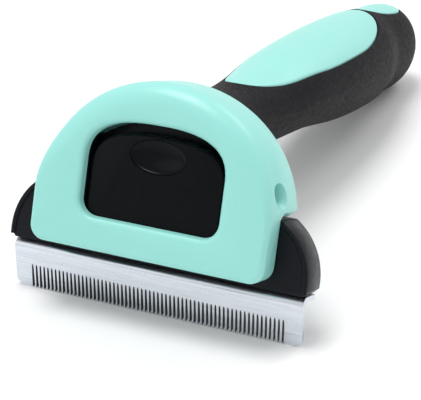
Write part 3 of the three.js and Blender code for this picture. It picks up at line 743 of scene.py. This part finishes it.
def comb_edge():
    """The toothed lower edge from left to right, in X and Z of the tool."""
    half = BLADE_HALF_WIDTH
    points = [(-half, 1.7), (-half + 0.25, 1.1), (-half + 1.5, 0.15), (-half + 2.1, 0)]
    tip = 0.31
    for i in range(SLOT_COUNT):
        x = (i - (SLOT_COUNT - 1) / 2) * SLOT_PITCH
        side = [(tip + 0.06, 0), (tip, 0.15), (0.27, 2.4),
                (0.2, SLOT_HEIGHT - 0.6), (0.12, SLOT_HEIGHT - 0.12)]
        points += [(x - dx, z) for dx, z in side]
        points.append((x, SLOT_HEIGHT))
        points += [(x + dx, z) for dx, z in reversed(side)]
    points += [(half - 2.1, 0), (half - 1.5, 0.15), (half - 0.25, 1.1), (half, 1.7)]
    return points


def bend_profile():
    """Front and back lines of the bent sheet, from the leaf's top to the flange's end, in tool Y and Z."""
    turn = math.pi - FACE_TILT
    tool_from_head = TOOL.inverted() @ HEAD

    def place(y, z):
        point = tool_from_head @ (Vector((0, y, z)) * MM) / MM
        return point.y, point.z

    corner_y, corner_z = place(FLANGE_TOP, 0)
    corner_z += corner_y * math.tan(math.pi / 2 - FACE_TILT)
    centre = (BEND_RADIUS, corner_z - BEND_RADIUS * math.tan(turn / 2))
    front, back = [(0, LEAF_TOP)], [(SHEET, LEAF_TOP)]
    steps = 20
    for i in range(steps + 1):
        a = math.pi - turn * i / steps
        for line, radius in ((front, BEND_RADIUS), (back, BEND_RADIUS - SHEET)):
            line.append((centre[0] + radius * math.cos(a), centre[1] + radius * math.sin(a)))
    front.append(place(FLANGE_TOP, FLANGE_END))
    back.append(place(FLANGE_TOP - SHEET, FLANGE_END))
    return front, back


def blade():
    edge = comb_edge()
    front, back = bend_profile()
    half = BLADE_HALF_WIDTH
    verts = [(x, 0, z) for x, z in edge] + [(x, SHEET, z) for x, z in edge]
    count = len(edge)
    faces = [(i, i + 1, count + i + 1, count + i) for i in range(count - 1)]
    first = len(verts)
    for y, z in front:
        verts += [(-half, y, z), (half, y, z)]
    second = len(verts)
    for y, z in back:
        verts += [(-half, y, z), (half, y, z)]
    faces.append(tuple(range(count)) + (first + 1, first))
    faces.append(tuple(range(count, 2 * count)) + (second + 1, second))
    steps = len(front)
    for start in (first, second):
        faces += [(start + 2 * k, start + 2 * k + 1, start + 2 * k + 3, start + 2 * k + 2)
                  for k in range(steps - 1)]
    last = 2 * (steps - 1)
    faces.append((first + last, first + last + 1, second + last + 1, second + last))
    for side, corner in ((0, 0), (1, count - 1)):
        faces.append((corner, count + corner, second + side, first + side))
        faces += [(first + 2 * k + side, second + 2 * k + side,
                   second + 2 * k + 2 + side, first + 2 * k + 2 + side)
                  for k in range(steps - 1)]
    body = make("comb", verts, faces, TOOL)
    dress(smooth(body, 25), "cartridge", "blade_steel", STEEL, "comb_blade")
    # The slot walls between the teeth get a second material, dark steel as painted shade.
    body.data.materials.append(SLOT_PAINTED_SHADE)
    low = (-BLADE_HALF_WIDTH + TOOTHLESS_END) * MM
    for polygon in body.data.polygons:
        normal = polygon.normal
        inside = low < polygon.center.x < -low and polygon.center.z < (SLOT_HEIGHT + 0.1) * MM
        if inside and abs(normal.y) < 0.5 and polygon.center.z > 0.01 * MM:
            polygon.material_index = 1
    return body


# ---- screws and kept CAD nodes ---------------------------------------------------------------

def screw(node, size, axis, body):
    """A cross-recessed pan head screw in the place of a CAD screw. axis is the way its shank points."""
    head_radius, head_height = size["head_radius"], size["head_height"]
    length, shank_radius = size["length"], size["shank_radius"]
    low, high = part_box(node)
    middle = (Vector(low) + Vector(high)) / 2
    turn = Vector((0, 0, 1)).rotation_difference(axis).to_matrix().to_4x4()
    place = Matrix.Translation(middle - axis * length * MM / 2) @ turn
    profile = [(0.02, 0.0), (head_radius * 0.6, 0.04), (head_radius * 0.9, 0.16), (head_radius, 0.36),
               (head_radius, head_height), (shank_radius, head_height), (shank_radius, length - shank_radius),
               (0.02, length)]
    piece = loft(node + "_cross", [ring(r, (0, 0, z), 2, 32) for r, z in profile], place)
    arm = head_radius * 0.62
    slots = [box("slot", (-arm, -0.16, -1), (arm, 0.16, 0.45), place),
             box("slot", (-0.16, -arm, -1), (0.16, arm, 0.45), place)]
    combine(piece, slots)
    dress(smooth(piece), body, "fastener_steel", FASTENER, node)


def screws():
    out_of_face = HEAD.to_3x3() @ Vector((0, 0, 1))
    up_the_face = HEAD.to_3x3() @ Vector((0, 1, 0))
    for i in range(1, 5):
        screw(f"cover_screw_{i}", COVER_SCREW, out_of_face, "handle")
        screw(f"blade_screw_{i}", BLADE_SCREW, up_the_face, "cartridge")
    for i in range(1, 3):
        screw(f"back_plate_screw_{i}", BACK_PLATE_SCREW, out_of_face, "cartridge")


def kept_nodes():
    looks = {"back_cover": MINT, "handle_core_lower": MINT, "cartridge_back_plate": BLACK,
             "latch_pin": FASTENER, "core_screw_front": FASTENER, "core_screw_rear": FASTENER}
    for name, look in looks.items():
        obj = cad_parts[name]
        obj.data.materials.clear()
        obj.data.materials.append(look)
        soften(obj, 0.12)


# ---- stage -----------------------------------------------------------------------------------

def floor():
    mesh = bpy.data.meshes.new("floor")
    size = 3
    corners = [(-size, -size, 0), (size, -size, 0), (size, size, 0), (-size, size, 0)]
    mesh.from_pydata(corners, [], [(0, 1, 2, 3)])
    obj = bpy.data.objects.new("floor", mesh)
    bpy.context.scene.collection.objects.link(obj)
    look = new_material("floor", (0.95, 0.95, 0.95), 0.9)
    mesh.materials.append(look)


def area_light(name, place, size, power):
    light = bpy.data.lights.new(name, "AREA")
    light.shape = "DISK"
    light.size = size
    light.energy = power
    obj = bpy.data.objects.new(name, light)
    obj.location = place
    obj.rotation_euler = (Vector((0, 0, 0.02)) - Vector(place)).to_track_quat("-Z", "Y").to_euler()
    bpy.context.scene.collection.objects.link(obj)


def lights():
    bpy.context.scene.view_settings.view_transform = "Standard"
    world = bpy.data.worlds.new("studio")
    world.use_nodes = True
    world.node_tree.nodes["Background"].inputs["Color"].default_value = (1, 1, 1, 1)
    world.node_tree.nodes["Background"].inputs["Strength"].default_value = 0.67
    bpy.context.scene.world = world
    area_light("key", (-0.15, -0.05, 0.8), 0.4, 3.3)
    area_light("fill", (-0.5, -0.6, 0.35), 0.5, 0.5)
    area_light("rim", (0.25, 0.6, 0.6), 0.4, 1.2)


def camera():
    """Looks down on the comb's front from the right."""
    yaw, pitch, roll = CAMERA_YAW, CAMERA_PITCH, CAMERA_ROLL
    back = Vector((math.sin(yaw) * math.cos(pitch), -math.cos(yaw) * math.cos(pitch), math.sin(pitch)))
    right = Vector((math.cos(yaw), math.sin(yaw), 0))
    up = back.cross(right)
    right, up = (right * math.cos(roll) + up * math.sin(roll), up * math.cos(roll) - right * math.sin(roll))
    data = bpy.data.cameras.new("camera")
    data.sensor_width = 36
    data.lens = CAMERA_LENS
    data.clip_start = 0.01
    obj = bpy.data.objects.new("camera", data)
    turn = Matrix((right, up, back)).transposed().to_4x4()
    x, y, z = CAMERA_PLACE
    obj.matrix_world = Matrix.Translation((x, BLADE_FRONT + y, z)) @ turn
    bpy.context.scene.collection.objects.link(obj)
    bpy.context.scene.camera = obj


arch()
handle()
cartridge()
latch()
springs()
blade()
screws()
kept_nodes()
floor()
lights()
camera()
